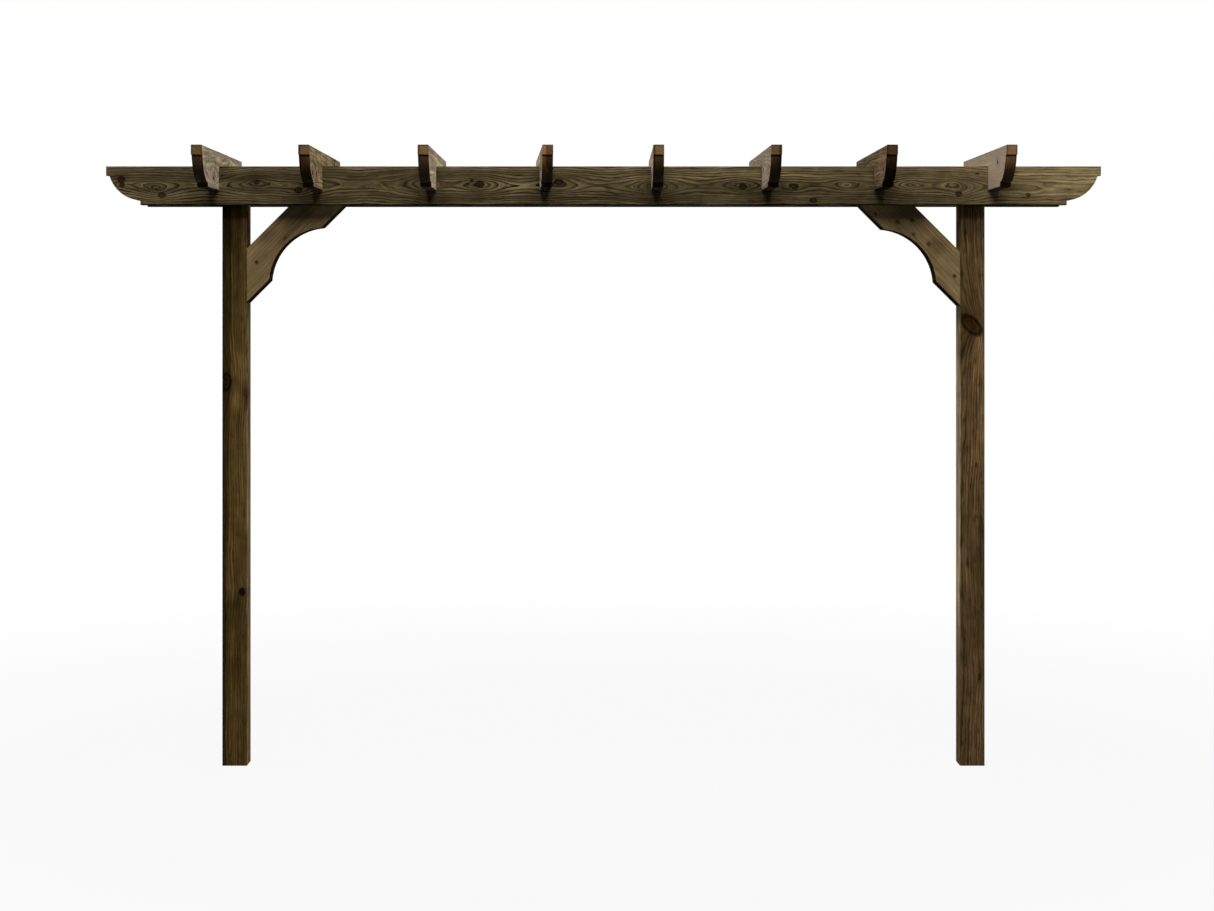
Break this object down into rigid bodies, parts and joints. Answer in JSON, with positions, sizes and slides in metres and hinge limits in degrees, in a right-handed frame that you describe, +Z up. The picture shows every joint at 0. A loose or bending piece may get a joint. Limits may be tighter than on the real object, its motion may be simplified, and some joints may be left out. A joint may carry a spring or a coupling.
{
  "type": "garden pergola",
  "caption": "Stained timber garden pergola: posts carry paired beams with scrolled ends, curved knee braces and rafters notched over the beams, for shade and climbing plants.",
  "frame": {"origin": "middle of the left post's foot, at ground level", "axes": "+Z up along the posts, +X along the beams towards the right post, -Y towards the front"},
  "size_m": [3.6, 0.8808, 2.229],
  "materials": {
    "stained_post": "planed softwood with a dark brown, matt, see-through wood stain",
    "stained_beam": "planed softwood with a brown, weathered, matt wood stain",
    "stained_brace": "planed softwood with a brown, matt wood stain",
    "stained_rafter": "planed softwood with a brown, weathered, matt wood stain"
  },
  "bodies": {
    "root": {"left_post": "stained_post", "right_post": "stained_post", "front_beam": "stained_beam", "rear_beam": "stained_beam", "left_front_brace": "stained_brace", "left_rear_brace": "stained_brace", "right_front_brace": "stained_brace", "right_rear_brace": "stained_brace", "rafter_1": "stained_rafter", "rafter_2": "stained_rafter", "rafter_3": "stained_rafter", "rafter_4": "stained_rafter", "rafter_5": "stained_rafter", "rafter_6": "stained_rafter", "rafter_7": "stained_rafter", "rafter_8": "stained_rafter"}
  },
  "joints": []
}
